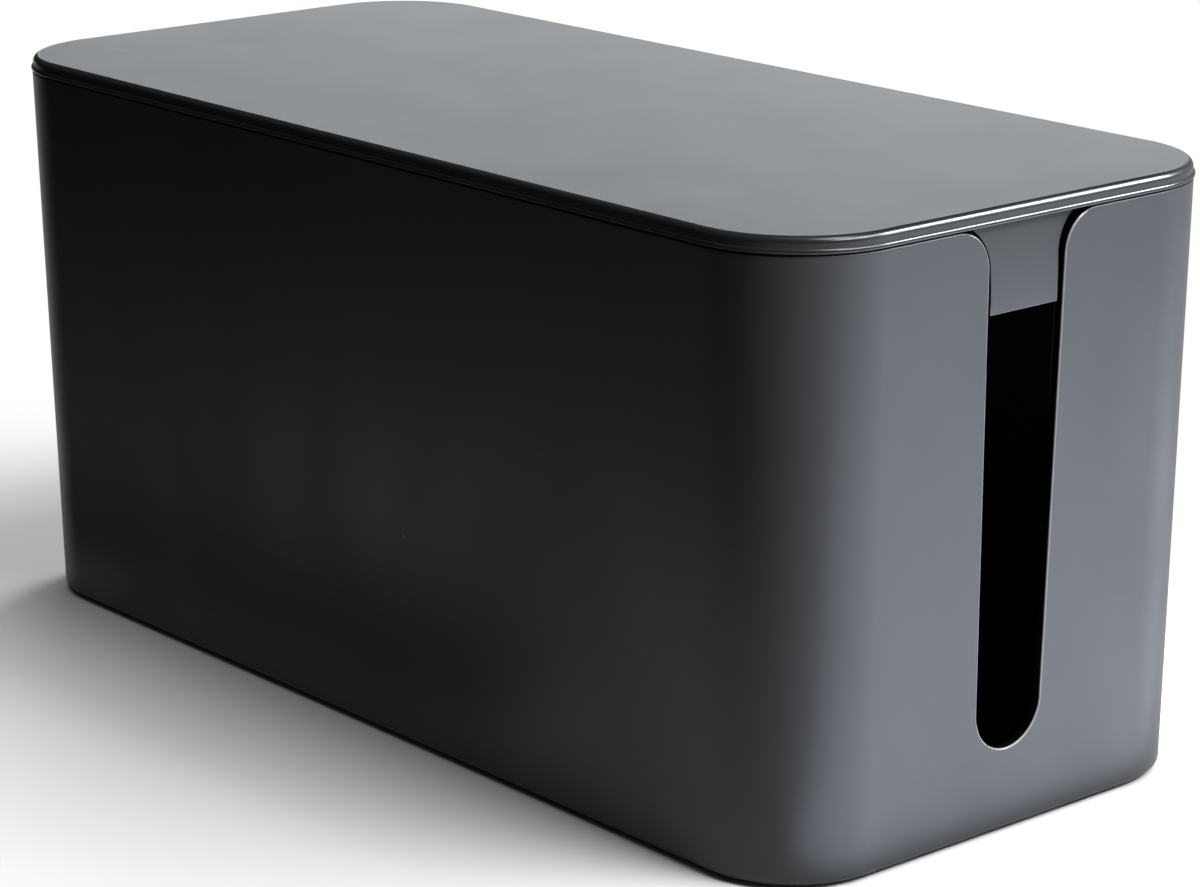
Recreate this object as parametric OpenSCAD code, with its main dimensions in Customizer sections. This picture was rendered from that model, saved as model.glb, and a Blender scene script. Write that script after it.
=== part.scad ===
// Cable management box: a deep drafted tub with a cable slot in each end, a lift-off lid
// whose two tongues close the tops of the slots, and four rubber feet let into the underside.
// Millimetres, +Z up. The origin is on the standing surface, under the middle of the box.
// +X runs along the box, -Y is the front long side.

/* [Box] */
// Length over the rim of the tub
box_l = 290; // [220:1:360]
// Width over the rim of the tub
box_w = 132.6; // [100:0.2:170]
// Height of the tub from its underside to its rim
tub_h = 133.2; // [90:0.1:170]
// Plan radius of the four upright corners at the rim
corner_r = 26; // [18:0.5:40]
// How far each side leans in between the rim and the underside
draft = 2.5; // [0.5:0.1:4]
// Thickness of the walls, measured level
wall = 2.5; // [2:0.1:3.5]
// Thickness of the floor
floor_t = 2.6; // [2.4:0.1:4]
// Rounding of the outer edge round the underside
base_r = 1.8; // [0.8:0.1:3]
// Rounding where the floor meets the walls inside
inside_r = 2.5; // [1:0.1:5]
// Rounding of both edges of the rim
rim_r = 0.4; // [0.2:0.05:0.7]

/* [Cable slots] */
// Height of the bottom of each slot above the underside of the tub
slot_sill = 18.6; // [12:0.1:40]
// Radius of the round bottom of each slot
slot_r = 9.6; // [7:0.1:13]
// Angle by which each side of a slot leans outwards on the way up
slot_taper = 0.9; // [0.3:0.1:2]
// Radius of the flare where a slot side turns out into the rim
flare_r = 9; // [5:0.1:12]

/* [Lid] */
// Thickness of the lid's top plate
lid_t = 2.4; // [2:0.1:3.2]
// Rounding of the lid's top edge
lid_edge_r = 1.6; // [1:0.1:2.2]
// Height of the narrow upright band under the rounded edge
band_h = 0.8; // [0.5:0.1:2]
// Angle by which the band leans in on the way up
band_lean = 4; // [1:0.5:8]
// Height of the lip under the band
lip_h = 1; // [1:0.05:1.6]
// Rounding of the upper side of the lip
lip_r = 0.8; // [0.6:0.05:0.85]
// Rounding of the lower edge of the lip
lip_low_r = 0.2; // [0.1:0.02:0.2]
// How far the lip stands out past the band
lip_step = 0.43; // [0.3:0.01:0.5]
// How far the lip stands out past the wall of the tub
lip_over = 0.3; // [0.1:0.05:0.8]
// Height of the shadow line between the lip and the rim
shadow_h = 0.4; // [0.3:0.05:0.8]
// Depth of the shadow line from the face of the wall
shadow_in = 0.9; // [0.6:0.05:1.2]

/* [Locating rib under the lid] */
// Depth of the rib below the rim
rib_h = 6; // [4:0.5:12]
// Thickness of the rib
rib_t = 1.6; // [1.2:0.1:2.4]
// Clearance between the rib and the inside of the tub
rib_fit = 0.5; // [0.3:0.05:1]
// Lead-in chamfer on the outer edge of the rib's tip
rib_lead = 0.6; // [0.2:0.1:0.8]

/* [Tongues] */
// How far each tongue reaches down from the rim
tongue_h = 18.7; // [12:0.1:40]
// Clearance between a tongue and the edge of its slot
tongue_gap = 1.15; // [0.6:0.05:2]
// Set-back of a tongue behind the outer face of the end wall
tongue_in = 0.6; // [0.3:0.05:0.9]
// Thickness of a tongue
tongue_t = 2; // [1.5:0.1:2.4]
// Break in the rib on each side of a tongue
rib_break = 3; // [1:0.5:8]

/* [Feet] */
// Diameter of a foot
foot_d = 12; // [8:0.5:18]
// Distance of each foot's centre from the outer sides at the rim
foot_inset = 26; // [22:0.5:40]
// How far the feet hold the tub off the surface
foot_lift = 0.8; // [0.5:0.1:2]
// Depth of the pocket that takes a foot
pocket_h = 1.2; // [0.8:0.1:1.6]
// Clearance all round a foot in its pocket
pocket_fit = 0.2; // [0.1:0.05:0.4]
// Rounding of a foot's lower edge
foot_edge_r = 0.4; // [0.2:0.05:0.5]

/* [Hidden] */
$fn = 96;
// Steps in a quarter turn of a small edge rounding and of a slot's curves
edge_steps = 6;
slot_steps = 12;

// Levels
base_z = foot_lift;
floor_z = base_z + floor_t;
rim_z = base_z + tub_h;
lip_z = rim_z + shadow_h;
band_z = lip_z + lip_h;
edge_z = band_z + band_h;
lid_z = edge_z + lid_edge_r;
plate_z = lid_z - lid_t;
rib_z = rim_z - rib_h;
tongue_z = rim_z - tongue_h;
// A tongue is rooted half way up the lip
root_z = lip_z + lip_h / 2;

// Upright axes of the four corners, shared by every wall, rib and edge
corner_x = box_l / 2 - corner_r;
corner_y = box_w / 2 - corner_r;
lean = atan(draft / tub_h);

// Cutters and joined shapes run past what they meet by this much
past = 1;

// Distance from a corner axis out to the outer and inner faces of the wall, at height z
function outer_x(z) = corner_r - (rim_z - z) * draft / tub_h;
function inner_x(z) = outer_x(z) - wall;

// Slot measures: centre of the round bottom, half width at height z, centre of the flare
slot_z = base_z + slot_sill + slot_r;
function slot_half(z) = slot_r / cos(slot_taper) + (z - slot_z) * tan(slot_taper);
flare_z = rim_z - flare_r;
flare_y = slot_half(flare_z) + flare_r / cos(slot_taper);
tongue_root_y = flare_y - sqrt(pow(flare_r + tongue_gap, 2) - pow(flare_r, 2));

// Lid faces, as distances out from a corner axis
lip_x = corner_r + lip_over;
band_x = lip_x - lip_step;
band_top_x = band_x - band_h * tan(band_lean);
seat_x = corner_r - shadow_in;

// Faces of the locating rib at height z: the outer follows the wall, the back tapers to the tip
function rib_x(z) = inner_x(z) - rib_fit;
function rib_back_x(z) = inner_x(rim_z) - rib_fit - rib_t + (rim_z - z) * draft / tub_h;

// Points along an arc of radius r about [x, z], from angle a to angle b
function arc(x, z, r, a, b, steps) =
    [for (i = [0:steps]) let (t = a + (b - a) * i / steps) [x + r * cos(t), z + r * sin(t)]];

// Carries a section, drawn with x out from the corner axis and y up, right round the box
module around_box() {
    for (side = [0:3]) {
        even = side % 2 == 0;
        out = even ? corner_x : corner_y;
        half = even ? corner_y : corner_x;
        rotate([0, 0, 90 * side])
            translate([out, half, 0]) {
                rotate([90, 0, 0]) linear_extrude(height = 2 * half) children();
                rotate_extrude(angle = 90) children();
            }
    }
}

// The plate between the four corner axes
module middle_plate(z, t) {
    translate([-corner_x, -corner_y, z]) cube([2 * corner_x, 2 * corner_y, t]);
}

// Places a shape drawn for the +X end at both ends
module at_both_ends() {
    for (end = [0, 1]) mirror([end, 0, 0]) children();
}

// Extrudes an outline drawn with x across the box and y up, out through the +X end
module through_end() {
    translate([corner_x, 0, 0]) rotate([90, 0, 90]) linear_extrude(height = corner_r + past) children();
}

// Section of the tub's wall with its share of the floor, anticlockwise from the underside:
// rounded base, leaning side, eased rim, then down the inside to the rounded floor
module tub_section() {
    base_x = outer_x(base_z + base_r) - base_r / cos(lean);
    rim_out_x = outer_x(rim_z - rim_r) - rim_r / cos(lean);
    rim_in_x = inner_x(rim_z - rim_r) + rim_r / cos(lean);
    low_x = inner_x(floor_z + inside_r) - inside_r / cos(lean);
    polygon(concat(
        [[0, base_z]],
        arc(base_x, base_z + base_r, base_r, -90, -lean, edge_steps),
        arc(rim_out_x, rim_z - rim_r, rim_r, -lean, 90, edge_steps),
        arc(rim_in_x, rim_z - rim_r, rim_r, 90, 180 - lean, edge_steps),
        arc(low_x, floor_z + inside_r, inside_r, -lean, -90, edge_steps),
        [[0, floor_z]]
    ));
}

// Right-hand edge of a slot from below up to the height high, drawn in by inset: a leaning
// side that turns out into the flare
function slot_side(inset, high) =
    let (r = flare_r + inset)
    arc(flare_y, flare_z, r, 180 - slot_taper, 180 - asin(min(1, (high - flare_z) / r)), slot_steps);

// The same points on the other side, in reverse order
function mirrored(points) = [for (i = [len(points) - 1:-1:0]) [-points[i][0], points[i][1]]];

// What is cut out of an end wall: round bottom, tapered sides, flared mouth
module slot_cut() {
    side = slot_side(0, rim_z);
    polygon(concat(
        arc(0, slot_z, slot_r, slot_taper - 180, -slot_taper, 2 * slot_steps),
        side,
        [[flare_y, rim_z + past], [-flare_y, rim_z + past]],
        mirrored(side)
    ));
}

// Outline of a tongue: the slot's own edge drawn in by the clearance, cut off level below
module tongue_outline() {
    low_y = slot_half(tongue_z) - tongue_gap / cos(slot_taper);
    side = slot_side(tongue_gap, root_z);
    polygon(concat([[-low_y, tongue_z], [low_y, tongue_z]], side, mirrored(side)));
}

module tub() {
    color("#2a2c30")
    difference() {
        union() {
            around_box() tub_section();
            middle_plate(base_z, floor_t);
        }
        at_both_ends() through_end() slot_cut();
        at_feet() translate([0, 0, base_z - past]) cylinder(d = foot_d + 2 * pocket_fit, h = pocket_h + past);
    }
}

// Section of the lid, anticlockwise from the underside of the plate: locating rib, seat on
// the rim, shadow line, lip, band and rounded top edge
module lid_section() {
    edge_x = band_top_x - lid_edge_r / cos(band_lean);
    lip_turn = acos((lip_r - lip_step) / lip_r);
    polygon(concat(
        [
            [0, plate_z],
            [rib_back_x(plate_z), plate_z],
            [rib_back_x(rib_z), rib_z],
            [rib_x(rib_z) - rib_lead / 2, rib_z],
            [rib_x(rib_z + rib_lead), rib_z + rib_lead],
            [rib_x(rim_z), rim_z],
            [seat_x, rim_z],
            [seat_x, lip_z]
        ],
        arc(lip_x - lip_low_r, lip_z + lip_low_r, lip_low_r, -90, 0, edge_steps),
        arc(lip_x - lip_r, band_z - lip_r * sin(lip_turn), lip_r, 0, lip_turn, edge_steps),
        arc(edge_x, edge_z, lid_edge_r, band_lean, 90, edge_steps),
        [[0, lid_z]]
    ));
}

// Section of a tongue through its thickness, leaning with the wall
module tongue_section() {
    face_x = outer_x(root_z) - tongue_in;
    tip_x = outer_x(tongue_z) - tongue_in;
    polygon([[tip_x - tongue_t, tongue_z], [tip_x, tongue_z], [face_x, root_z], [face_x - tongue_t, root_z]]);
}

// A tongue: its outline through the end, kept to its own thickness
module tongue() {
    intersection() {
        through_end() tongue_outline();
        translate([corner_x, corner_y, 0]) rotate([90, 0, 0])
            linear_extrude(height = 2 * corner_y) tongue_section();
    }
}

// Room between the two halves of the rib, for a tongue: it reaches half way out across the
// rib's clearance and stops level with the seat
module rib_cut() {
    half = tongue_root_y + rib_break;
    reach = rib_x(rim_z) + rib_fit / 2;
    translate([corner_x, -half, rib_z - past]) cube([reach, 2 * half, rib_h + past]);
}

module lid() {
    color("#2d2f34")
    union() {
        difference() {
            around_box() lid_section();
            at_both_ends() rib_cut();
        }
        middle_plate(plate_z, lid_t);
        at_both_ends() tongue();
    }
}

// Places a shape at the four feet
module at_feet() {
    for (x = [-1, 1], y = [-1, 1]) at_foot(x, y) children();
}

module at_foot(x, y) {
    translate([x * (box_l / 2 - foot_inset), y * (box_w / 2 - foot_inset), 0]) children();
}

// Round rubber pad with a rounded lower edge
module foot() {
    foot_r = foot_d / 2;
    color("#1b1b1c")
    rotate_extrude()
        polygon(concat(
            [[0, 0]],
            arc(foot_r - foot_edge_r, foot_edge_r, foot_edge_r, -90, 0, edge_steps),
            [[foot_r, foot_lift + pocket_h], [0, foot_lift + pocket_h]]
        ));
}

tub();
lid();
at_foot(-1, -1) foot();  // foot_front_left
at_foot(1, -1) foot();  // foot_front_right
at_foot(-1, 1) foot();  // foot_rear_left
at_foot(1, 1) foot();  // foot_rear_right
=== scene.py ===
"""Cable management box: a satin charcoal tub with a flared cable slot in each end, a lift-off
lid whose tongues close the tops of the slots, and four rubber feet.

Metres, +Z up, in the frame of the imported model. The box stands on z = 0, +X runs along it and
its front long side faces -Y.
"""

import math

import bmesh
import bpy
from mathutils import Matrix, Vector


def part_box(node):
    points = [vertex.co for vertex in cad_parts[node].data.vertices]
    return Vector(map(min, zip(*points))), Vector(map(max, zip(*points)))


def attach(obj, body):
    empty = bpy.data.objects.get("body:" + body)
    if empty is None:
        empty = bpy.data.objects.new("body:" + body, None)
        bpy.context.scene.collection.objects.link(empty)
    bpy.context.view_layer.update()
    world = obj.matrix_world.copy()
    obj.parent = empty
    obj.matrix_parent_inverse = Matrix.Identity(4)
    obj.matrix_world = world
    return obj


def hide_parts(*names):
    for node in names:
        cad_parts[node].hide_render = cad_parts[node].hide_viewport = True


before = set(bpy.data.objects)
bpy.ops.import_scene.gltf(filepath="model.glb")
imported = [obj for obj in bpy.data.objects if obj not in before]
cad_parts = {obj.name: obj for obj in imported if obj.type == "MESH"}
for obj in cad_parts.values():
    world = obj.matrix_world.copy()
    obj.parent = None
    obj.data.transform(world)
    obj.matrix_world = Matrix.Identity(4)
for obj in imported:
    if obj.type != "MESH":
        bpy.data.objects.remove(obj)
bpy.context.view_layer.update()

MM = 0.001

# ---------------------------------------------------------------- sizes from the frame
tub_low, tub_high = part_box("tub")
lid_low, lid_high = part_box("lid")
_, foot_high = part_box("foot_rear_right")

BASE_Z = tub_low.z
RIM_Z = tub_high.z
LID_Z = lid_high.z
TONGUE_Z = lid_low.z
LIP_OVER = lid_high.x - tub_high.x
FOOT_TOP = foot_high.z

# ---------------------------------------------------------------- sizes of the mouldings
CORNER_R = 26 * MM
DRAFT = 2.5 * MM
WALL = 2.5 * MM
FLOOR_T = 2.6 * MM
BASE_R = 1.8 * MM
INSIDE_R = 2.5 * MM
RIM_R = 0.4 * MM

SLOT_SILL = 18.6 * MM
SLOT_R = 9.6 * MM
SLOT_TAPER = math.radians(0.9)
FLARE_R = 9 * MM

LID_T = 2.4 * MM
LID_EDGE_R = 1.6 * MM
BAND_H = 0.8 * MM
BAND_LEAN = math.radians(4)
LIP_H = 1.0 * MM
LIP_R = 0.8 * MM
LIP_LOW_R = 0.2 * MM
LIP_STEP = 0.43 * MM
SHADOW_H = 0.4 * MM
SHADOW_IN = 0.9 * MM

RIB_H = 6 * MM
RIB_T = 1.6 * MM
RIB_FIT = 0.5 * MM
RIB_LEAD = 0.6 * MM
RIB_BREAK = 3 * MM

TONGUE_GAP = 1.15 * MM
TONGUE_IN = 0.6 * MM
TONGUE_T = 2 * MM
TONGUE_R = 0.35 * MM
TONGUE_SWEEP = 1.4 * MM

FOOT_R = 6 * MM
FOOT_INSET = 26 * MM
POCKET_H = 1.2 * MM
POCKET_R = FOOT_R + 0.2 * MM
FOOT_EDGE_R = 0.4 * MM
FOOT_DISH = 0.15 * MM

# How far a cutting shape runs past what it cuts, and how close two points merge
PAST = 1 * MM
MERGE = 0.001 * MM

# Fineness of the curves
CORNER_STEPS = 32
EDGE_STEPS = 8
SLOT_STEPS = 16
SWEEP_STEPS = 10
FOOT_STEPS = 64
EASE_STEPS = 3
# Faces narrower than this belong to a rounded edge
NARROW = 0.55 * MM
# Least turn between two faces for an edge that is drawn hard, and for one that is eased on the
# tub and on a tongue
HARD_TURN = math.radians(50)
TUB_TURN = math.radians(60)
TONGUE_TURN = math.radians(30)

# ---------------------------------------------------------------- levels and faces worked out
FLOOR_Z = BASE_Z + FLOOR_T
TUB_H = RIM_Z - BASE_Z
LEAN = math.atan(DRAFT / TUB_H)
CORNER_X = tub_high.x - CORNER_R
CORNER_Y = tub_high.y - CORNER_R
LIP_Z = RIM_Z + SHADOW_H
BAND_Z = LIP_Z + LIP_H
EDGE_Z = BAND_Z + BAND_H
PLATE_Z = LID_Z - LID_T
RIB_Z = RIM_Z - RIB_H
ROOT_Z = LIP_Z + LIP_H / 2
# Clear of the pockets, below the rim's rounding, and above the rounding of a tongue's end
OVER_POCKETS_Z = BASE_Z + 2 * POCKET_H
UNDER_RIM_Z = RIM_Z - 2 * RIM_R
OVER_TONGUE_Z = TONGUE_Z + 2 * TONGUE_R
LIP_X = CORNER_R + LIP_OVER
BAND_X = LIP_X - LIP_STEP
SEAT_X = CORNER_R - SHADOW_IN


def outer_x(z):
    """Distance from a corner axis out to the outer face of the wall, at height z."""
    return CORNER_R - (RIM_Z - z) * DRAFT / TUB_H


def inner_x(z):
    """Distance from a corner axis out to the inner face of the wall."""
    return outer_x(z) - WALL


def rib_back_x(z):
    """Distance out to the back of the locating rib, which tapers towards its tip."""
    return inner_x(RIM_Z) - RIB_FIT - RIB_T + (RIM_Z - z) * DRAFT / TUB_H


SLOT_Z = BASE_Z + SLOT_SILL + SLOT_R
FLARE_Z = RIM_Z - FLARE_R


def slot_half(z):
    """Half the width of a slot at height z."""
    return SLOT_R / math.cos(SLOT_TAPER) + (z - SLOT_Z) * math.tan(SLOT_TAPER)


FLARE_Y = slot_half(FLARE_Z) + FLARE_R / math.cos(SLOT_TAPER)


def arc(x, z, r, start, end, steps):
    """Points along an arc of radius r about (x, z), between two angles in radians."""
    turns = [start + (end - start) * i / steps for i in range(steps + 1)]
    return [(x + r * math.cos(t), z + r * math.sin(t)) for t in turns]


QUARTER = math.pi / 2
HALF = math.pi


# ---------------------------------------------------------------- sections and outlines
def tub_section():
    """Wall of the tub with its share of the floor, from the underside round to the floor."""
    base_x = outer_x(BASE_Z + BASE_R) - BASE_R / math.cos(LEAN)
    low_x = inner_x(FLOOR_Z + INSIDE_R) - INSIDE_R / math.cos(LEAN)
    return (
        [(0, BASE_Z)]
        + arc(base_x, BASE_Z + BASE_R, BASE_R, -QUARTER, -LEAN, EDGE_STEPS)
        + [(CORNER_R, RIM_Z), (inner_x(RIM_Z), RIM_Z)]
        + arc(low_x, FLOOR_Z + INSIDE_R, INSIDE_R, -LEAN, -QUARTER, EDGE_STEPS)
        + [(0, FLOOR_Z)]
    )


def lid_section():
    """Lid from the underside of its plate: rib, seat, shadow line, lip, band and top edge."""
    band_top_x = BAND_X - BAND_H * math.tan(BAND_LEAN)
    edge_x = band_top_x - LID_EDGE_R / math.cos(BAND_LEAN)
    lip_turn = math.acos((LIP_R - LIP_STEP) / LIP_R)
    tip_x = inner_x(RIB_Z) - RIB_FIT
    return (
        [
            (0, PLATE_Z),
            (rib_back_x(PLATE_Z), PLATE_Z),
            (rib_back_x(RIB_Z), RIB_Z),
            (tip_x - RIB_LEAD / 2, RIB_Z),
            (tip_x, RIB_Z + RIB_LEAD),
            (inner_x(RIM_Z) - RIB_FIT, RIM_Z),
            (SEAT_X, RIM_Z),
            (SEAT_X, LIP_Z),
        ]
        + arc(LIP_X - LIP_LOW_R, LIP_Z + LIP_LOW_R, LIP_LOW_R, -QUARTER, 0, EDGE_STEPS)
        + arc(LIP_X - LIP_R, BAND_Z - LIP_R * math.sin(lip_turn), LIP_R, 0, lip_turn, EDGE_STEPS)
        + arc(edge_x, EDGE_Z, LID_EDGE_R, BAND_LEAN, QUARTER, EDGE_STEPS)
        + [(0, LID_Z)]
    )


def slot_side(inset, top):
    """Right-hand edge of a slot, drawn in by inset, up to the height top."""
    r = FLARE_R + inset
    end = HALF - math.asin(min(1, (top - FLARE_Z) / r))
    return arc(FLARE_Y, FLARE_Z, r, HALF - SLOT_TAPER, end, SLOT_STEPS)


def mirrored(points):
    """The same points on the other side, in reverse order."""
    return [(-y, z) for y, z in reversed(points)]


def slot_outline():
    """What is cut out of an end wall: round bottom, leaning sides, flared mouth."""
    side = slot_side(0, RIM_Z)
    bottom = arc(0, SLOT_Z, SLOT_R, SLOT_TAPER - HALF, -SLOT_TAPER, 2 * SLOT_STEPS)
    mouth = [(FLARE_Y, RIM_Z + PAST), (-FLARE_Y, RIM_Z + PAST)]
    return bottom + side + mouth + mirrored(side)


def tongue_outline():
    """The slot's own edge drawn in by the clearance, cut off level below."""
    low_y = slot_half(TONGUE_Z) - TONGUE_GAP / math.cos(SLOT_TAPER)
    side = slot_side(TONGUE_GAP, ROOT_Z)
    return [(-low_y, TONGUE_Z), (low_y, TONGUE_Z)] + side + mirrored(side)


# ---------------------------------------------------------------- ways of making a mesh
def carry_round(bm, section):
    """Runs a section, drawn out from a corner axis, along the four sides and round the corners."""
    line = [bm.verts.new((CORNER_X + x, -CORNER_Y, z)) for x, z in section]
    last = line + [bm.edges.new(pair) for pair in zip(line, line[1:])]
    for side in range(4):
        turn = Matrix.Rotation(side * QUARTER, 3, "Z")
        out, half = (CORNER_X, CORNER_Y) if side % 2 == 0 else (CORNER_Y, CORNER_X)
        axis_at = turn @ Vector((out, half, 0))
        along = turn @ Vector((0, 2 * half, 0))
        last = bmesh.ops.spin(
            bm, geom=last, cent=axis_at, axis=(0, 0, 1), dvec=along, angle=0, steps=1
        )["geom_last"]
        last = bmesh.ops.spin(
            bm, geom=last, cent=axis_at, axis=(0, 0, 1), angle=QUARTER, steps=CORNER_STEPS
        )["geom_last"]
    bmesh.ops.remove_doubles(bm, verts=bm.verts, dist=MERGE)
    bmesh.ops.holes_fill(bm, edges=bm.edges, sides=4)
    bmesh.ops.recalc_face_normals(bm, faces=bm.faces)


def slab(outline, start, end):
    """An outline, x across the box and y up, extruded along the box from start to end."""
    bm = bmesh.new()
    face = bm.faces.new([bm.verts.new((start, y, z)) for y, z in outline])
    grown = bmesh.ops.extrude_face_region(bm, geom=[face])["geom"]
    moved = [item for item in grown if isinstance(item, bmesh.types.BMVert)]
    bmesh.ops.translate(bm, verts=moved, vec=(end - start, 0, 0))
    bmesh.ops.recalc_face_normals(bm, faces=bm.faces)
    return bm


def turned_over(bm, end):
    """Turns a shape made for the +X end round to the other end, where end is -1."""
    if end < 0:
        bmesh.ops.rotate(bm, verts=bm.verts, cent=(0, 0, 0), matrix=Matrix.Rotation(HALF, 3, "Z"))
    return bm


def sharp_edges(bm, least):
    """The edges where two faces meet at more than the angle least."""
    return [e for e in bm.edges if e.is_manifold and e.calc_face_angle() > least]


def ease(bm, edges, radius):
    """Rounds edges over."""
    bmesh.ops.bevel(
        bm, geom=edges, offset=radius, offset_type="OFFSET", segments=EASE_STEPS, profile=0.5,
        affect="EDGES", material=-1, clamp_overlap=True,
    )


def put(name, bm):
    """A new object with the shape made so far."""
    mesh = bpy.data.meshes.new(name)
    bm.to_mesh(mesh)
    bm.free()
    piece = bpy.data.objects.new(name, mesh)
    bpy.context.scene.collection.objects.link(piece)
    return piece


def worked(piece, bm, operation):
    """Cuts a piece with another shape, or joins the two, and keeps the result as its mesh."""
    tool = put("tool", bm)
    change = piece.modifiers.new("change", "BOOLEAN")
    change.operation = operation
    change.solver = "EXACT"
    change.object = tool
    graph = bpy.context.evaluated_depsgraph_get()
    piece.data = bpy.data.meshes.new_from_object(piece.evaluated_get(graph))
    piece.modifiers.clear()
    bpy.data.objects.remove(tool)


def reshaped(piece, change, *values):
    """Runs one of the mesh steps on the piece's own mesh."""
    bm = bmesh.new()
    bm.from_mesh(piece.data)
    change(bm, *values)
    bm.to_mesh(piece.data)
    bm.free()


def handled(at):
    """How far hands reach a place: not under the lid, by the desk or round the back."""
    if UNDER_RIM_Z < at.z < LIP_Z or at.z < BASE_Z + 2 * BASE_R:
        return 0
    return min(1, max(0, 1 - (at.y - CORNER_Y) / (CORNER_R / 2)))


def in_slot(at, top):
    """Whether a place is at the edge of a slot, below the height top."""
    beside = abs(at.x) > CORNER_X and abs(at.y) < FLARE_Y
    return beside and SLOT_Z - SLOT_R - 2 * RIM_R < at.z < top


def mark_rounded_edges(bm, slot_highlight_top):
    """Marks the narrow faces of the rounded edges: those that hands polish, and those at the slots
    that carry a painted highlight.
    """
    worn = bm.loops.layers.float.new("worn")
    # The rubbed mark picks out the slots' rounded edges for a painted highlight
    rubbed = bm.loops.layers.float.new("rubbed")
    narrow = {f: f.calc_area() / max(e.calc_length() for e in f.edges) < NARROW for f in bm.faces}
    inside = {v: all(narrow[f] for f in v.link_faces) for v in bm.verts}
    for face in bm.faces:
        for loop in face.loops:
            on_edge = float(narrow[face] and inside[loop.vert])
            loop[worn] = on_edge * handled(loop.vert.co)
            loop[rubbed] = on_edge * in_slot(loop.vert.co, slot_highlight_top)


def finish_surface(bm, slot_highlight_top):
    """Smooth shading with the hard inner corners kept, and the edge marks."""
    bmesh.ops.remove_doubles(bm, verts=bm.verts, dist=MERGE)
    for face in bm.faces:
        face.smooth = True
    for edge in bm.edges:
        edge.smooth = edge.is_manifold and edge.calc_face_angle() < HARD_TURN
    mark_rounded_edges(bm, slot_highlight_top)


def dress(piece, body, node, material, slot_highlight_top):
    """Finishes a piece: even normals, its material, and its place in the frame."""
    reshaped(piece, finish_surface, slot_highlight_top)
    normals = piece.modifiers.new("even_normals", "WEIGHTED_NORMAL")
    normals.keep_sharp = True
    piece.data.materials.clear()
    piece.data.materials.append(material)
    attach(piece, body)
    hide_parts(node)


# ---------------------------------------------------------------- the pieces
def make_tub(material):
    """The tub, with a slot cut in each end and four pockets under it."""
    bm = bmesh.new()
    carry_round(bm, tub_section())
    tub = put("tub_shell", bm)
    for end in (1, -1):
        cutter = slab(slot_outline(), CORNER_X, CORNER_X + CORNER_R + PAST)
        worked(tub, turned_over(cutter, end), "DIFFERENCE")
    for x, y in feet_at():
        cutter = bmesh.new()
        middle = (x, y, BASE_Z + (POCKET_H - PAST) / 2)
        bmesh.ops.create_cone(
            cutter, cap_ends=True, segments=FOOT_STEPS, radius1=POCKET_R, radius2=POCKET_R,
            depth=POCKET_H + PAST, matrix=Matrix.Translation(middle),
        )
        worked(tub, cutter, "DIFFERENCE")
    reshaped(tub, ease_tub)
    dress(tub, "tub", "tub", material, UNDER_RIM_Z)


def ease_tub(bm):
    """Rounds the rim and the slots, and leaves the pockets sharp."""
    bmesh.ops.remove_doubles(bm, verts=bm.verts, dist=MERGE)
    sharp = sharp_edges(bm, TUB_TURN)
    ease(bm, [e for e in sharp if e.verts[0].co.z >= OVER_POCKETS_Z], RIM_R)


def make_tongue(end):
    """A tongue, eased all round, that leans with the wall and sweeps in towards its root."""
    bm = slab(tongue_outline(), -TONGUE_T, 0)
    ease(bm, sharp_edges(bm, TONGUE_TURN), TONGUE_R)
    swept = ROOT_Z - OVER_TONGUE_Z
    for step in range(SWEEP_STEPS):
        level = (0, 0, OVER_TONGUE_Z + swept * step / SWEEP_STEPS)
        whole = bm.verts[:] + bm.edges[:] + bm.faces[:]
        bmesh.ops.bisect_plane(bm, geom=whole, plane_co=level, plane_no=(0, 0, 1), dist=MERGE)
    for vert in bm.verts:
        rise = max(0, (vert.co.z - OVER_TONGUE_Z) / swept)
        vert.co.x -= TONGUE_SWEEP * rise ** 2
    slope = DRAFT / TUB_H
    stand = CORNER_X + CORNER_R - TONGUE_IN - RIM_Z * slope
    lean = Matrix(((1, 0, slope, stand), (0, 1, 0, 0), (0, 0, 1, 0), (0, 0, 0, 1)))
    bmesh.ops.transform(bm, matrix=lean, verts=bm.verts)
    return turned_over(bm, end)


def make_lid(material):
    """The lid, with its rib broken at each end and a tongue joined on in the break."""
    bm = bmesh.new()
    carry_round(bm, lid_section())
    lid = put("lid_cover", bm)
    root_y = FLARE_Y - math.sqrt((FLARE_R + TONGUE_GAP) ** 2 - FLARE_R ** 2)
    half = root_y + RIB_BREAK
    gap = [(-half, RIB_Z - PAST), (half, RIB_Z - PAST), (half, RIM_Z), (-half, RIM_Z)]
    for end in (1, -1):
        cutter = slab(gap, CORNER_X, CORNER_X + inner_x(RIM_Z) - RIB_FIT / 2)
        worked(lid, turned_over(cutter, end), "DIFFERENCE")
    for end in (1, -1):
        worked(lid, make_tongue(end), "UNION")
    dress(lid, "lid", "lid", material, OVER_TONGUE_Z)


def feet_at():
    """Centres of the four feet."""
    x = tub_high.x - FOOT_INSET
    y = tub_high.y - FOOT_INSET
    return [(sx * x, sy * y) for sx in (-1, 1) for sy in (-1, 1)]


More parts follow.
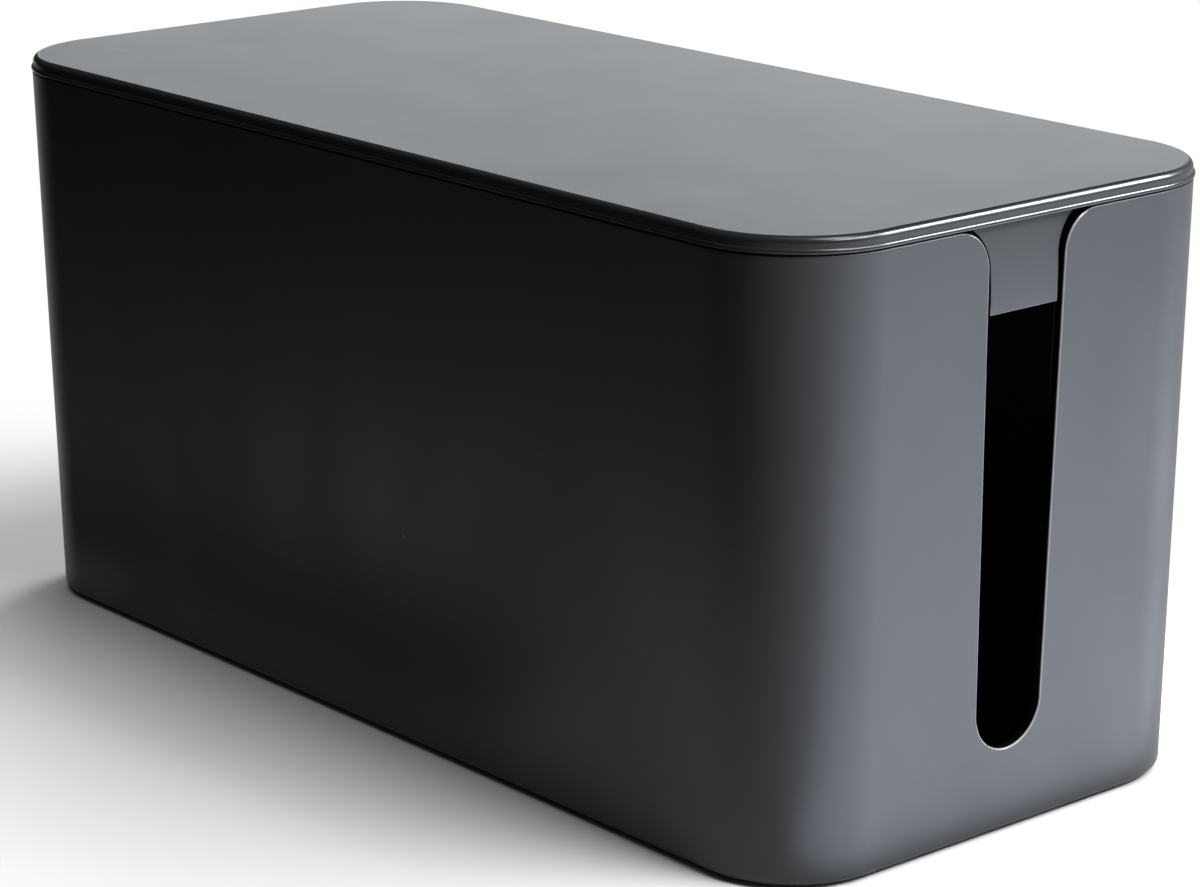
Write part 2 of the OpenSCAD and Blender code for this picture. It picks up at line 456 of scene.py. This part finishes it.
def make_foot(x, y, material):
    """A round rubber pad with an eased, slightly dished underside."""
    end = "left" if x < 0 else "right"
    side = "front" if y < 0 else "rear"
    section = (
        [(0, FOOT_DISH), (FOOT_R / 2, FOOT_DISH), (FOOT_R - 2 * FOOT_EDGE_R, 0)]
        + arc(FOOT_R - FOOT_EDGE_R, FOOT_EDGE_R, FOOT_EDGE_R, -QUARTER, 0, EDGE_STEPS)
        + [(FOOT_R, FOOT_TOP), (0, FOOT_TOP)]
    )
    bm = bmesh.new()
    line = [bm.verts.new((x + r, y, z)) for r, z in section]
    edges = [bm.edges.new(pair) for pair in zip(line, line[1:])]
    bmesh.ops.spin(
        bm, geom=line + edges, cent=(x, y, 0), axis=(0, 0, 1), angle=2 * HALF,
        steps=FOOT_STEPS, use_merge=True,
    )
    bmesh.ops.remove_doubles(bm, verts=bm.verts, dist=MERGE)
    bmesh.ops.recalc_face_normals(bm, faces=bm.faces)
    foot = put(f"pad_{side}_{end}", bm)
    dress(foot, "tub", f"foot_{side}_{end}", material, 0)


# ---------------------------------------------------------------- nodes
def feed(tree, socket, value):
    """Links a socket to another node's, or sets it to a plain value."""
    if isinstance(value, bpy.types.NodeSocket):
        tree.links.new(value, socket)
    else:
        socket.default_value = value


def add(tree, kind, at, **inputs):
    """Adds a node and feeds its named sockets."""
    node = tree.nodes.new(kind)
    node.location = at
    for key, value in inputs.items():
        feed(tree, node.inputs[key.replace("_", " ")], value)
    return node


def sum_of(tree, operation, at, first, second):
    """A sum, product or the like of two numbers."""
    node = tree.nodes.new("ShaderNodeMath")
    node.location = at
    node.operation = operation
    feed(tree, node.inputs[0], first)
    feed(tree, node.inputs[1], second)
    return node.outputs[0]


def between(tree, at, value, low, high, start=0, end=1):
    """The part of value from low to high, spread over start to end."""
    node = add(tree, "ShaderNodeMapRange", at, Value=value, From_Min=low, From_Max=high,
               To_Min=start, To_Max=end)
    return node.outputs["Result"]


def colour_mix(tree, at, share, first, second):
    """Goes from the first colour to the second as share goes from 0 to 1."""
    node = tree.nodes.new("ShaderNodeMix")
    node.location = at
    node.data_type = "RGBA"
    feed(tree, node.inputs[0], share)
    feed(tree, node.inputs[6], first)
    feed(tree, node.inputs[7], second)
    return node.outputs[2]


def noise(tree, at, coords, scale, detail, seed):
    """Soft random pattern from 0 to 1."""
    node = tree.nodes.new("ShaderNodeTexNoise")
    node.location = at
    node.noise_dimensions = "4D"
    for key, value in (("Vector", coords), ("Scale", scale), ("Detail", detail), ("W", seed)):
        feed(tree, node.inputs[key], value)
    return node.outputs["Fac"]


def cells(tree, at, coords, scale):
    """Random spots: the distance to the nearest one and its own random number."""
    node = add(tree, "ShaderNodeTexVoronoi", at, Vector=coords, Scale=scale)
    beside = (at[0] + 200, at[1] - 120)
    split = add(tree, "ShaderNodeSeparateColor", beside, Color=node.outputs["Color"])
    return node.outputs["Distance"], split.outputs["Red"]


def piece_coords(tree, at, stretch=(1, 1, 1), turn=(0, 0, 0)):
    """The piece's own coordinates, stretched and turned."""
    source = add(tree, "ShaderNodeTexCoord", at)
    mapping = add(tree, "ShaderNodeMapping", (at[0] + 200, at[1]), Scale=stretch, Rotation=turn,
                  Vector=source.outputs["Object"])
    return mapping.outputs["Vector"]


# ---------------------------------------------------------------- effects shared by the materials
# Bands of a noise, from 0 to 1, that an effect spreads out: nearly all of it, where edge wear and
# the slots' painted highlight break up, only its ridges, and its patches
NOISE_SPAN = (0.3, 0.7)
EDGE_MARK_SPAN = (0.3, 0.6)
RIDGES = (0.66, 0.72)
PATCHES = (0.5, 0.62)

# Pits of the mould: how many there are for each grain along a line, and how deep they are
PIT_SHARE = 0.6
PIT_DEPTH = 0.5
# Share of an edge mark, wear and the slots' painted highlight alike, left where it is most broken
# up
LEAST_EDGE_MARK = 0.75
# Stretch and turns of the smears, and of the two runs of scuffs with their patches per metre
SMEAR_STRETCH = (1, 1, 0.45)
SMEAR_TURN = (0.4, 0.2, 0.6)
SCUFF_STRETCH = (1, 46, 46)
SCUFF_TURNS = (0.35, -0.9)
SCUFF_PATCHES = 30
# How squarely a face looks up (1 is straight up) where dust begins to thicken and where it is
# full, and the share of it that lies on the sides
DUST_SLOPE = (0.2, 0.9)
DUST_ON_SIDES = 0.25
# Depths in a slot at which the shade painted on its cut face begins, is full, and ends
SHADE_FROM = RIM_R
SHADE_FULL = 1.5 * RIM_R
SHADE_TO = 0.95 * WALL


def effect(name, settings, results):
    """A node group with named numbers in and out."""
    tree = bpy.data.node_groups.new(name, "ShaderNodeTree")
    for label, value in settings.items():
        socket = tree.interface.new_socket(label, in_out="INPUT", socket_type="NodeSocketFloat")
        socket.default_value = value
    for label in results:
        tree.interface.new_socket(label, in_out="OUTPUT", socket_type="NodeSocketFloat")
    given = tree.nodes.new("NodeGroupInput")
    given.location = (-1400, 0)
    made = tree.nodes.new("NodeGroupOutput")
    made.location = (400, 0)
    return tree, given.outputs, made.inputs


def moulded_grain():
    """Fine even texture of the mould: its height, and the faint speckle that it gives."""
    tree, given, made = effect(
        "moulded_grain", {"Grains per Metre": 2600, "Seed": 0}, ["Height", "Speckle"]
    )
    coords = piece_coords(tree, (-1400, -300))
    fine = noise(tree, (-800, 100), coords, given["Grains per Metre"], 2, given["Seed"])
    pit_scale = sum_of(tree, "MULTIPLY", (-1000, -200), given["Grains per Metre"], PIT_SHARE)
    pit, _ = cells(tree, (-800, -200), coords, pit_scale)
    shallow = sum_of(tree, "MULTIPLY", (-400, -200), pit, PIT_DEPTH)
    feed(tree, made["Height"], sum_of(tree, "ADD", (-200, 0), fine, shallow))
    feed(tree, made["Speckle"], between(tree, (0, 200), fine, *NOISE_SPAN))
    return tree


def moulding_clouds():
    """Broad soft patches where the melt cooled and hands have been, in tone and in gloss."""
    tree, given, made = effect(
        "moulding_clouds", {"Clouds per Metre": 20, "Smears per Metre": 45, "Seed": 0},
        ["Tone", "Gloss"],
    )
    coords = piece_coords(tree, (-1400, -300))
    cloud = noise(tree, (-800, 200), coords, given["Clouds per Metre"], 3, given["Seed"])
    along = piece_coords(tree, (-1400, -600), SMEAR_STRETCH, SMEAR_TURN)
    smear = noise(tree, (-800, -200), along, given["Smears per Metre"], 5, given["Seed"])
    feed(tree, made["Tone"], between(tree, (0, 200), cloud, *NOISE_SPAN))
    feed(tree, made["Gloss"], between(tree, (0, -200), smear, *NOISE_SPAN))
    return tree


def edge_wear_and_highlight(name, mark_name, breaks):
    """A mask on the marked edges, broken up along their length: the polished edges' wear and the
    slots' painted highlight.
    """
    tree, given, made = effect(name, {"Wear": 1, "Breaks per Metre": breaks, "Seed": 0}, ["Mask"])
    mark = tree.nodes.new("ShaderNodeAttribute")
    mark.location = (-1000, 200)
    mark.attribute_name = mark_name
    coords = piece_coords(tree, (-1400, -300))
    broken = noise(tree, (-800, -200), coords, given["Breaks per Metre"], 4, given["Seed"])
    kept = between(tree, (-500, -200), broken, *EDGE_MARK_SPAN, LEAST_EDGE_MARK, 1)
    amount = sum_of(tree, "MULTIPLY", (-200, -100), kept, given["Wear"])
    feed(tree, made["Mask"], sum_of(tree, "MULTIPLY", (100, 0), mark.outputs["Fac"], amount))
    return tree


def slot_painted_shade():
    """The cut faces inside the slots, painted dark as shade in the recess and given a smoother
    finish.
    """
    tree, given, made = effect("slot_painted_shade", {"Amount": 1, "Reach": FLARE_Y}, ["Mask"])
    size = add(tree, "ShaderNodeVectorMath", (-1000, -300))
    size.operation = "ABSOLUTE"
    feed(tree, size.inputs[0], piece_coords(tree, (-1400, -300)))
    split = add(tree, "ShaderNodeSeparateXYZ", (-800, -300), Vector=size.outputs["Vector"])
    leaning = sum_of(tree, "MULTIPLY", (-600, -500), split.outputs["Z"], DRAFT / TUB_H)
    face = sum_of(tree, "ADD", (-400, -500), leaning, CORNER_X + outer_x(0))
    depth = sum_of(tree, "SUBTRACT", (-200, -400), face, split.outputs["X"])
    begun = between(tree, (0, -400), depth, SHADE_FROM, SHADE_FULL)
    ended = sum_of(tree, "LESS_THAN", (0, -200), depth, SHADE_TO)
    beside = sum_of(tree, "LESS_THAN", (-200, 0), split.outputs["Y"], given["Reach"])
    above = sum_of(tree, "GREATER_THAN", (-200, 200), split.outputs["Z"], SLOT_Z - SLOT_R - RIM_R)
    mask = given["Amount"]
    for part in (begun, ended, beside, above):
        mask = sum_of(tree, "MULTIPLY", (200, 0), mask, part)
    feed(tree, made["Mask"], mask)
    return tree


def settled_dust():
    """Sparse specks of dust, most of them on the faces that look up."""
    tree, given, made = effect(
        "settled_dust", {"Places per Metre": 55, "Speck Size": 0.03, "Share": 0.14}, ["Mask"]
    )
    coords = piece_coords(tree, (-1400, -300))
    distance, pick = cells(tree, (-1000, 0), coords, given["Places per Metre"])
    near = sum_of(tree, "LESS_THAN", (-500, 100), distance, given["Speck Size"])
    chosen = sum_of(tree, "LESS_THAN", (-500, -100), pick, given["Share"])
    facing = tree.nodes.new("ShaderNodeNewGeometry")
    facing.location = (-1000, -400)
    split = add(tree, "ShaderNodeSeparateXYZ", (-800, -400), Vector=facing.outputs["Normal"])
    up = between(tree, (-500, -400), split.outputs["Z"], *DUST_SLOPE, DUST_ON_SIDES, 1)
    specks = sum_of(tree, "MULTIPLY", (-200, 0), near, chosen)
    feed(tree, made["Mask"], sum_of(tree, "MULTIPLY", (100, 0), specks, up))
    return tree


def hairline_scuffs():
    """Faint short scuffs in two directions, as on plastic that has been wiped."""
    tree, given, made = effect("hairline_scuffs", {"Scuffs per Metre": 14, "Seed": 0}, ["Mask"])
    lines = []
    for row, turn in enumerate(SCUFF_TURNS):
        along = piece_coords(tree, (-1400, -400 * row), SCUFF_STRETCH, (0, 0, turn))
        line = noise(tree, (-800, -400 * row), along, given["Scuffs per Metre"], 2, given["Seed"])
        lines.append(between(tree, (-500, -400 * row), line, *RIDGES))
    coords = piece_coords(tree, (-1400, 300))
    patch = noise(tree, (-800, 300), coords, SCUFF_PATCHES, 2, given["Seed"])
    where = between(tree, (-500, 300), patch, *PATCHES)
    either = sum_of(tree, "MAXIMUM", (-200, -200), lines[0], lines[1])
    feed(tree, made["Mask"], sum_of(tree, "MULTIPLY", (100, 0), either, where))
    return tree


def placed(tree, at, group, **settings):
    """Puts an effect into a material with its own values."""
    node = tree.nodes.new("ShaderNodeGroup")
    node.location = at
    node.node_tree = group
    for key, value in settings.items():
        node.inputs[key.replace("_", " ")].default_value = value
    return node.outputs


# ---------------------------------------------------------------- materials
def new_material(name):
    """An empty material and its tree of nodes."""
    material = bpy.data.materials.new(name)
    material.use_nodes = True
    material.node_tree.nodes.clear()
    return material, material.node_tree


def tinted(colour, amount):
    """A colour made lighter or darker."""
    return tuple(channel * amount for channel in colour) + (1,)


CHARCOAL = (0.021, 0.0225, 0.025)
RUBBED_CHARCOAL = (0.026, 0.028, 0.031)
# Pale colour painted along the slots' rounded edges as a highlight
SLOT_EDGE_HIGHLIGHT = (0.58, 0.59, 0.6)
SOOT = (0.014, 0.014, 0.015)
DUST = (0.62, 0.61, 0.58)
# How dark and how light clouds and speckle make a colour, and how dark the slots' painted shade is
CHARCOAL_RANGE = (0.88, 1.12)
SOOT_RANGE = (0.8, 1.3)
SLOT_PAINTED_SHADE = 0.15

# The plastic: how much clouds, speckle, polish and dust change its colour
CLOUD_SHARE = 0.7
SPECKLE_SHARE = 0.3
POLISH_SHARE = 0.5
DUST_SHARE = 0.7
# Its roughness, and what polish, scuffs and the slots' painted-shade faces add to that
SATIN = 0.48
POLISH_ADDS = -0.27
SCUFFS_ADD = -0.06
SLOT_ADDS = -0.2

# The rubber: how much a film of dust and its specks change its colour, and its roughness
FILM_SHARE = 0.05
SPECK_SHARE = 0.4
RUBBER_ROUGHNESS = (0.72, 0.88)


def shade(tree, colour, roughness, height, strength, depth, ior):
    """Ends a material with its shader: its colour, its roughness and the depth of its grain."""
    bump = add(tree, "ShaderNodeBump", (-200, -600), Strength=strength, Distance=depth,
               Height=height)
    shader = add(tree, "ShaderNodeBsdfPrincipled", (0, 0), Base_Color=colour,
                 Roughness=roughness, Normal=bump.outputs["Normal"], IOR=ior)
    add(tree, "ShaderNodeOutputMaterial", (300, 0), Surface=shader.outputs["BSDF"])


def satin_plastic(name, effects, seed, patchy, shaded):
    """Satin charcoal plastic: fine grain, soft clouds, polished edges, a few specks and scuffs, a
    painted highlight on the slots' edges and painted shade on their cut faces.
    """
    material, tree = new_material(name)
    grain = placed(tree, (-1400, 600), effects["grain"], Seed=seed)
    clouds = placed(tree, (-1400, 300), effects["clouds"], Seed=seed)
    polish = placed(tree, (-1400, 0), effects["polish"], Seed=seed)
    dust = placed(tree, (-1400, -300), effects["dust"])
    scuffs = placed(tree, (-1400, -600), effects["scuffs"], Seed=seed)
    # Mask of the highlight painted along the slots' rounded edges
    slot_highlight = placed(tree, (-1400, -900), effects["slot_highlight"], Seed=seed)
    # Mask of the shade painted on the slots' cut faces
    cut = placed(tree, (-1400, -1200), effects["shade"], Amount=shaded)

    darkest, lightest = [tinted(CHARCOAL, amount) for amount in CHARCOAL_RANGE]
    light_share = sum_of(tree, "MULTIPLY", (-1100, 500), clouds["Tone"], CLOUD_SHARE)
    speckle_share = sum_of(tree, "MULTIPLY", (-1100, 650), grain["Speckle"], SPECKLE_SHARE)
    share = sum_of(tree, "ADD", (-900, 600), light_share, speckle_share)
    body = colour_mix(tree, (-700, 600), share, darkest, lightest)
    rubbed_share = sum_of(tree, "MULTIPLY", (-900, 300), polish["Mask"], POLISH_SHARE)
    rubbed = colour_mix(tree, (-500, 500), rubbed_share, body, tinted(RUBBED_CHARCOAL, 1))
    # The slots' rounded edges painted pale as a highlight
    slot_highlighted = colour_mix(tree, (-500, 300), slot_highlight["Mask"], rubbed, tinted(SLOT_EDGE_HIGHLIGHT, 1))
    # The slots' cut faces painted dark as shade
    dark = colour_mix(tree, (-400, 200), cut["Mask"], slot_highlighted, tinted(SOOT, SLOT_PAINTED_SHADE))
    dusty_share = sum_of(tree, "MULTIPLY", (-700, 200), dust["Mask"], DUST_SHARE)
    dusty = colour_mix(tree, (-300, 400), dusty_share, dark, tinted(DUST, 1))

    satin = between(tree, (-900, -100), clouds["Gloss"], 0, 1, SATIN - patchy, SATIN + patchy)
    worn_gloss = sum_of(tree, "MULTIPLY", (-900, -300), polish["Mask"], POLISH_ADDS)
    scuffed = sum_of(tree, "MULTIPLY", (-900, -500), scuffs["Mask"], SCUFFS_ADD)
    smoother = sum_of(tree, "MULTIPLY", (-900, -700), cut["Mask"], SLOT_ADDS)
    polished = sum_of(tree, "ADD", (-600, -200), satin, worn_gloss)
    smoothed = sum_of(tree, "ADD", (-500, -400), polished, smoother)
    brushed = sum_of(tree, "ADD", (-400, -300), smoothed, scuffed)
    roughness = sum_of(tree, "MAXIMUM", (-200, -300), brushed, dust["Mask"])

    shade(tree, dusty, roughness, grain["Height"], strength=0.5, depth=0.012 * MM, ior=1.5)
    return material


def foot_rubber(effects):
    """Matt black rubber with a coarser grain and a little dust rubbed into it."""
    material, tree = new_material("foot_rubber")
    grain = placed(tree, (-1000, 300), effects["grain"], Grains_per_Metre=1700, Seed=7)
    clouds = placed(tree, (-1000, 0), effects["clouds"], Clouds_per_Metre=160,
                    Smears_per_Metre=300)
    dust = placed(tree, (-1000, -300), effects["dust"], Places_per_Metre=500, Speck_Size=0.12)
    darkest, lightest = [tinted(SOOT, amount) for amount in SOOT_RANGE]
    body = colour_mix(tree, (-600, 300), grain["Speckle"], darkest, lightest)
    film = sum_of(tree, "MULTIPLY", (-600, 0), clouds["Tone"], FILM_SHARE)
    greyed = colour_mix(tree, (-400, 200), film, body, tinted(DUST, 1))
    speck_share = sum_of(tree, "MULTIPLY", (-600, -200), dust["Mask"], SPECK_SHARE)
    dusty = colour_mix(tree, (-200, 200), speck_share, greyed, tinted(DUST, 1))
    roughness = between(tree, (-400, -100), clouds["Gloss"], 0, 1, *RUBBER_ROUGHNESS)
    shade(tree, dusty, roughness, grain["Height"], strength=0.6, depth=0.03 * MM, ior=1.52)
    return material


def make_effects():
    """The effects, each built once for the materials to share."""
    return {
        "grain": moulded_grain(),
        "clouds": moulding_clouds(),
        "polish": edge_wear_and_highlight("edge_polish", "worn", breaks=70),
        # The slots' rounded edges, marked as rubbed, carry a painted highlight
        "slot_highlight": edge_wear_and_highlight("painted_slot_highlight", "rubbed", breaks=150),
        "shade": slot_painted_shade(),
        "dust": settled_dust(),
        "scuffs": hairline_scuffs(),
    }


# ---------------------------------------------------------------- camera, floor and light
# Where the camera stands, the way it looks in degrees (from +X towards +Y, down, and rolled),
# and its lens, sensor and shift
CAMERA_AT = (0.64728, -0.53892, 0.29823)
CAMERA_TURN = 139.488
CAMERA_DIP = 16.363
CAMERA_ROLL = -0.111
LENS = 110.94
SENSOR = 36
SHIFT = (-0.0154, 0.0142)
CLIP_START = 0.01


def make_camera():
    """The camera that the scene is shown from."""
    camera = bpy.data.objects.new("camera", bpy.data.cameras.new("camera"))
    bpy.context.scene.collection.objects.link(camera)
    aim = Matrix.Rotation(math.radians(CAMERA_TURN - 90), 4, "Z")
    aim @= Matrix.Rotation(math.radians(90 - CAMERA_DIP), 4, "X")
    aim @= Matrix.Rotation(math.radians(CAMERA_ROLL), 4, "Z")
    camera.matrix_world = Matrix.Translation(CAMERA_AT) @ aim
    camera.data.lens = LENS
    camera.data.sensor_width = SENSOR
    camera.data.shift_x, camera.data.shift_y = SHIFT
    camera.data.clip_start = CLIP_START
    bpy.context.scene.camera = camera


def seen_ray(tree, at):
    """1 for camera, glossy and transmission rays, 0 for diffuse ones."""
    path = add(tree, "ShaderNodeLightPath", at)
    camera, glossy = path.outputs["Is Camera Ray"], path.outputs["Is Glossy Ray"]
    either = sum_of(tree, "MAXIMUM", (at[0] + 200, at[1]), camera, glossy)
    through = path.outputs["Is Transmission Ray"]
    return sum_of(tree, "MAXIMUM", (at[0] + 400, at[1]), either, through)


# The floor's width, its colour as it is seen, and the darker one by which it lights the box
FLOOR_SIZE = 8
FLOOR_SHOWN = (0.95, 0.95, 0.955, 1)
FLOOR_LIT_BY = (0.12, 0.12, 0.12, 1)
# Light that the pale floor holds even in the shadow, and how far in under the box it dies away
FLOOR_HAZE = 0.1
UNDER_EDGE = 1 * MM
# How far from the box the floor begins to fade to plain white, and how far off it is all white
FADE_FROM = 0.04
FADE_TO = 0.16


def beyond_box(tree, at):
    """How far a point of the floor lies outside the box's rounded footprint."""
    steps = [("ABSOLUTE", None), ("SUBTRACT", (CORNER_X, CORNER_Y, 0)), ("MAXIMUM", (0, 0, 0)),
             ("LENGTH", None)]
    value = piece_coords(tree, at)
    for step, (operation, other) in enumerate(steps):
        node = add(tree, "ShaderNodeVectorMath", (at[0] + 400 + 200 * step, at[1]))
        node.operation = operation
        feed(tree, node.inputs[0], value)
        if other:
            node.inputs[1].default_value = other
        value = node.outputs["Value" if operation == "LENGTH" else "Vector"]
    return sum_of(tree, "SUBTRACT", (at[0] + 1200, at[1]), value, outer_x(BASE_Z))


def make_floor():
    """White floor that takes the shadow, and is plain white further off."""
    bm = bmesh.new()
    bmesh.ops.create_grid(bm, x_segments=1, y_segments=1, size=FLOOR_SIZE / 2)
    floor = put("floor", bm)
    material, tree = new_material("floor_white")
    seen = seen_ray(tree, (-1200, 200))
    colour = colour_mix(tree, (-500, 200), seen, FLOOR_LIT_BY, FLOOR_SHOWN)
    paper = add(tree, "ShaderNodeBsdfDiffuse", (-200, 200), Color=colour)
    reach = beyond_box(tree, (-1500, -200))
    open_floor = between(tree, (-900, 500), reach, -UNDER_EDGE, UNDER_EDGE / 2, 0, FLOOR_HAZE)
    haze = add(tree, "ShaderNodeEmission", (-200, 400), Color=FLOOR_SHOWN)
    feed(tree, haze.inputs["Strength"], sum_of(tree, "MULTIPLY", (-500, 400), seen, open_floor))
    near = add(tree, "ShaderNodeAddShader", (0, 300))
    feed(tree, near.inputs[0], paper.outputs["BSDF"])
    feed(tree, near.inputs[1], haze.outputs["Emission"])
    white = add(tree, "ShaderNodeEmission", (-200, 0), Color=(1, 1, 1, 1), Strength=1)
    far = between(tree, (-700, -200), reach, FADE_FROM, FADE_TO)
    share = sum_of(tree, "MULTIPLY", (-500, -100), far, seen)
    mix = add(tree, "ShaderNodeMixShader", (150, 100), Fac=share)
    feed(tree, mix.inputs[1], near.outputs["Shader"])
    feed(tree, mix.inputs[2], white.outputs["Emission"])
    add(tree, "ShaderNodeOutputMaterial", (350, 0), Surface=mix.outputs["Shader"])
    floor.data.materials.append(material)


# Black cards on the floor before the box, which only its satin sides reflect
CARDS = [
    ("near_card", (-4, -0.135), (0.02, -0.084)),
    ("left_card", (-4, -0.2), (-0.2, -0.15)),
    ("low_left_card", (-0.2, -0.084), (-0.13, -0.076)),
    ("far_card", (-4, -4), (0.33, -0.2)),
]
# How high the cards lie above the floor
CARD_Z = 1.5 * MM


def card_black():
    """Flat black with no shine of its own."""
    material, tree = new_material("card_black")
    shader = add(tree, "ShaderNodeBsdfDiffuse", (0, 0), Color=tinted(SOOT, 1))
    add(tree, "ShaderNodeOutputMaterial", (300, 0), Surface=shader.outputs["BSDF"])
    return material


def make_card(name, low, high, material):
    """A card between two corners, which shows only in the shine of other things."""
    bm = bmesh.new()
    bmesh.ops.create_grid(bm, x_segments=1, y_segments=1, size=0.5)
    bmesh.ops.scale(bm, verts=bm.verts, vec=(high[0] - low[0], high[1] - low[1], 1))
    middle = ((high[0] + low[0]) / 2, (high[1] + low[1]) / 2, CARD_Z)
    bmesh.ops.translate(bm, verts=bm.verts, vec=middle)
    card = put(name, bm)
    card.data.materials.append(material)
    card.visible_camera = False
    card.visible_diffuse = False
    card.visible_shadow = False
    card.visible_transmission = False


# How bright the room around is, where white is 1
ROOM = 0.02


def make_world():
    """A dark studio that looks white where the camera sees past the floor."""
    world = bpy.data.worlds.new("studio")
    bpy.context.scene.world = world
    world.use_nodes = True
    tree = world.node_tree
    tree.nodes.clear()
    path = add(tree, "ShaderNodeLightPath", (-600, 0))
    strength = between(tree, (-300, 0), path.outputs["Is Camera Ray"], 0, 1, ROOM, 1)
    background = add(tree, "ShaderNodeBackground", (0, 0), Strength=strength)
    add(tree, "ShaderNodeOutputWorld", (300, 0), Surface=background.outputs["Background"])


# Each lamp: name, the point it faces, its direction from there (degrees from +X towards +Y,
# degrees up), distance, size, how bright its face is where white is 1, its tint, and whether
# it lights everything, only shows in the shine, or never does
BOX_MIDDLE = (0, 0, 0.07)
PLAIN = (1, 1, 1)
PALE_BLUE = (0.93, 0.965, 1)
COOL_BLUE = (0.76, 0.84, 1)
LAMPS = [
    ("soft_low", BOX_MIDDLE, 30, 11, 1.5, (0.85, 0.62), 0.9, COOL_BLUE, "all"),
    ("soft_high", BOX_MIDDLE, 30, 39, 1.5, (0.85, 0.85), 2.4, PALE_BLUE, "all"),
    ("strip_light", BOX_MIDDLE, 18, 42, 1.5, (0.85, 0.16), 30, PLAIN, "all"),
    ("key_light", BOX_MIDDLE, 12, 62, 1.5, (0.5, 0.4), 11.5, PLAIN, "all"),
    ("edge_glint", BOX_MIDDLE, 54, 31, 1.5, (0.4, 0.6), 36, PALE_BLUE, "shine"),
    ("ceiling_bounce", BOX_MIDDLE, 25, 74, 1.5, (1.1, 1.1), 0.4, PLAIN, "all"),
    ("backdrop_right", BOX_MIDDLE, 126, 14, 1.8, (0.57, 0.44), 5.3, PALE_BLUE, "all"),
    ("backdrop_left", BOX_MIDDLE, 145, 12, 1.8, (0.63, 0.5), 4.25, PALE_BLUE, "all"),
    ("floor_glow", (0.355, 0.19, 0.5), 0, -90, 0.499, (0.41, 0.52), 3.85, COOL_BLUE, "shine"),
    ("floor_fill", BOX_MIDDLE, 115, 50, 1.5, (0.4, 0.4), 16, PLAIN, "floor"),
]


def make_lamps():
    """Flat lamps, each of which faces its point from its distance."""
    for name, aim, turn, rise, distance, size, bright, tint, lights in LAMPS:
        lamp = bpy.data.lights.new(name, "AREA")
        lamp.shape = "RECTANGLE"
        lamp.size, lamp.size_y = size
        lamp.color = tint
        lamp.energy = bright * math.pi * size[0] * size[1]
        holder = bpy.data.objects.new(name, lamp)
        bpy.context.scene.collection.objects.link(holder)
        swing = Matrix.Rotation(math.radians(turn), 3, "Z")
        tilt = Matrix.Rotation(-math.radians(rise), 3, "Y")
        away = swing @ tilt @ Vector((distance, 0, 0))
        facing = away.to_track_quat("Z", "Y").to_matrix().to_4x4()
        holder.matrix_world = Matrix.Translation(Vector(aim) + away) @ facing
        holder.visible_camera = False
        holder.visible_diffuse = lights != "shine"
        holder.visible_glossy = lights != "floor"


# ---------------------------------------------------------------- the scene
make_camera()
make_world()
make_lamps()
make_floor()
black = card_black()
for card in CARDS:
    make_card(*card, black)
effects = make_effects()
make_tub(satin_plastic("tub_plastic", effects, seed=0, patchy=0.045, shaded=1))
make_lid(satin_plastic("lid_plastic", effects, seed=4, patchy=0.01, shaded=0))
pad_rubber = foot_rubber(effects)
for foot_x, foot_y in feet_at():
    make_foot(foot_x, foot_y, pad_rubber)

bpy.context.scene.view_settings.view_transform = "Standard"
